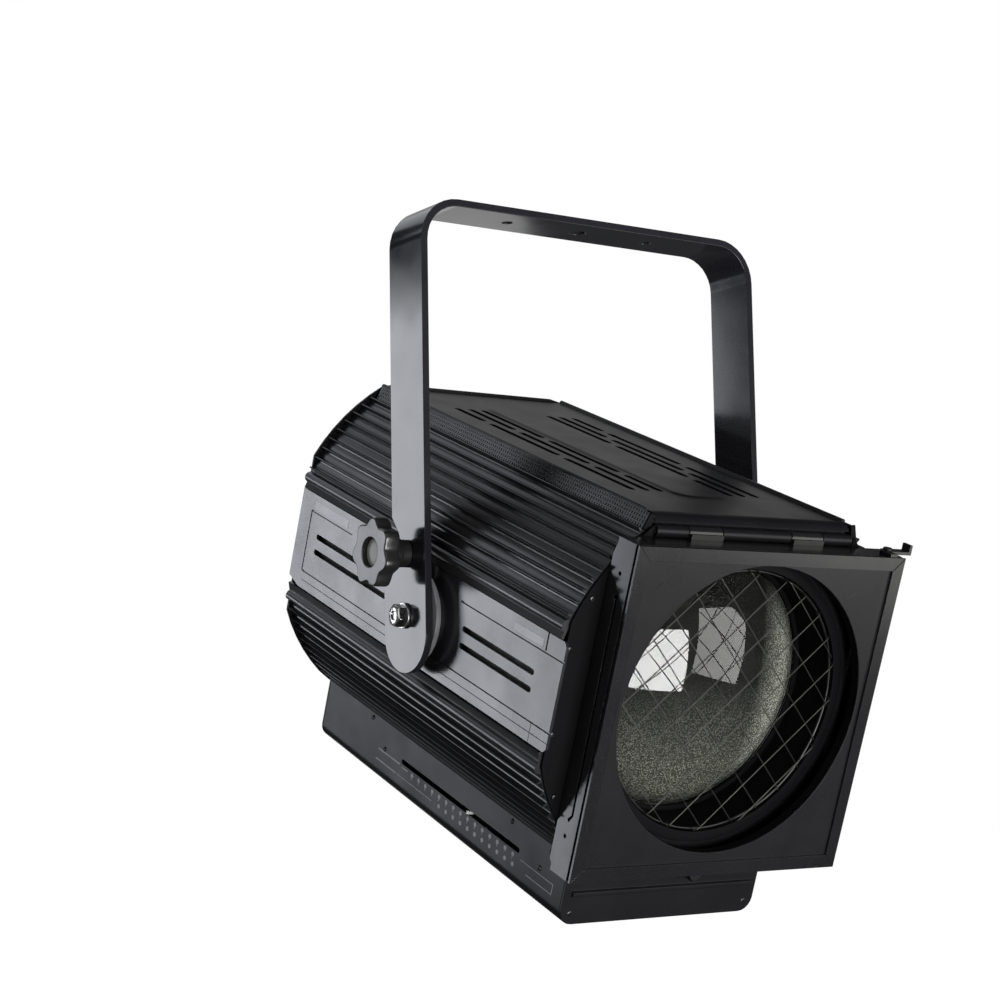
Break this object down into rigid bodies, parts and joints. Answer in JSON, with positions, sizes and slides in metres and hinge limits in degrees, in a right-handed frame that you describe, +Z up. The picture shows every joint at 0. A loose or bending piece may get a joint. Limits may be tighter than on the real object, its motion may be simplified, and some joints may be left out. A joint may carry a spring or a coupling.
{
  "type": "plano-convex theatre spotlight",
  "caption": "Plano-convex spotlight with a ribbed housing, hinged lens door, sliding lamp carriage and a hanging yoke.",
  "frame": {"origin": "centre of the yoke crossbar's top face, on the axis of its middle hole", "axes": "+Z up, the beam towards -Y and nose down by 21.5 degrees at rest, +X along the tilt axis, to the right when looking along +Y"},
  "size_m": [0.3864, 0.5558, 0.5732],
  "materials": {
    "yoke_paint": "satin black powder coat",
    "housing_black": "satin black powder coat",
    "door_black": "satin black powder coat",
    "rib_black": "extruded aluminium, anodised black",
    "panel_grey": "fine textured grey-black coat",
    "knob_plastic": "moulded black plastic",
    "zinc_plate": "bright zinc plate",
    "chrome": "bright plated",
    "steel": "plain steel",
    "aluminium": "mill finish",
    "reflector_mirror": "polished mirror",
    "lens_glass": "clear glass with a pebbled flat side",
    "lamp_glass": "clear quartz",
    "ceramic": "unglazed",
    "pointer_white": "white",
    "brake_lining": "light grey friction lining"
  },
  "bodies": {
    "yoke": {"yoke_strap": "yoke_paint", "tilt_lock_claw": "steel"},
    "tilt_lock": {"tilt_lock_knob": "knob_plastic", "tilt_lock_stud": "steel"},
    "housing": {"brake_disc_left": "brake_lining", "brake_disc_right": "brake_lining", "cable_gland": "knob_plastic", "control_box_front_cap": "housing_black", "control_box_rear_cap": "housing_black", "control_box_tray": "housing_black", "door_hinge_pin": "steel", "front_bulkhead": "housing_black", "front_hood": "housing_black", "guide_rail_left": "chrome", "guide_rail_right": "chrome", "heat_baffle": "aluminium", "pivot_bolt_left": "chrome", "pivot_bolt_right": "chrome", "pivot_nut_left": "zinc_plate", "pivot_nut_right": "zinc_plate", "pivot_washer_left": "zinc_plate", "pivot_washer_right": "zinc_plate", "rail_bracket_front": "steel", "rail_bracket_rear": "steel", "rear_cover": "housing_black", "rib_shell_lower_left": "rib_black", "rib_shell_lower_right": "rib_black", "rib_shell_upper_left": "rib_black", "rib_shell_upper_right": "rib_black", "side_chassis_left": "steel", "side_chassis_right": "steel", "side_panel_left": "panel_grey", "side_panel_right": "panel_grey", "terminal_block": "ceramic", "top_cover": "housing_black"},
    "lamp_carriage": {"carriage_plate": "aluminium", "focus_pointer_left": "pointer_white", "focus_pointer_right": "pointer_white", "lamp": "lamp_glass", "lamp_socket": "ceramic", "reflector": "reflector_mirror", "reflector_stay": "steel"},
    "focus_drive": {"focus_screw": "steel", "focus_knob": "knob_plastic"},
    "front_door": {"accessory_channel": "door_black", "colour_frame": "door_black", "front_frame": "door_black", "latch_rivet": "zinc_plate", "lens": "lens_glass", "lens_retaining_ring": "steel", "lens_tube": "door_black", "wire_guard": "zinc_plate"},
    "door_catch": {"door_catch_screw": "zinc_plate"},
    "frame_latch": {"frame_latch": "door_black"}
  },
  "joints": [
    {"name": "tilt", "type": "hinge", "parent": "yoke", "child": "housing", "pos_m": [0, 0.007, -0.334], "axis": [1, 0, 0], "range_deg": [-111.5, 68.5]},
    {"name": "tilt_lock_turn", "type": "hinge", "parent": "yoke", "child": "tilt_lock", "pos_m": [-0.1715, 0.003, -0.285], "axis": [-1, 0, 0], "range_deg": [0, 540]},
    {"name": "front_door_hinge", "type": "hinge", "parent": "housing", "child": "front_door", "pos_m": [0, -0.21613, -0.28325], "axis": [-1, 0, 0], "range_deg": [0, 90]},
    {"name": "door_catch_turn", "type": "hinge", "parent": "front_door", "child": "door_catch", "pos_m": [0, -0.12357, -0.53322], "axis": [0, -0.9304, -0.3665], "range_deg": [0, 1080]},
    {"name": "frame_latch_swing", "type": "hinge", "parent": "front_door", "child": "frame_latch", "pos_m": [0.121, -0.23141, -0.29356], "axis": [0, 0.3665, -0.9304], "range_deg": [0, 90]},
    {"name": "carriage_slide", "type": "slide", "parent": "housing", "child": "lamp_carriage", "axis": [0, 0.9304, 0.3665], "range_m": [-0.074, 0.108]},
    {"name": "focus_screw_turn", "type": "hinge", "parent": "housing", "child": "focus_drive", "pos_m": [0, 0.27825, -0.41416], "axis": [0, 0.9304, 0.3665], "range_deg": [-1345, 1955]}
  ],
  "couplings": [
    {"joint": "focus_screw_turn", "follows": "carriage_slide", "rad_per_m": 314.16}
  ]
}
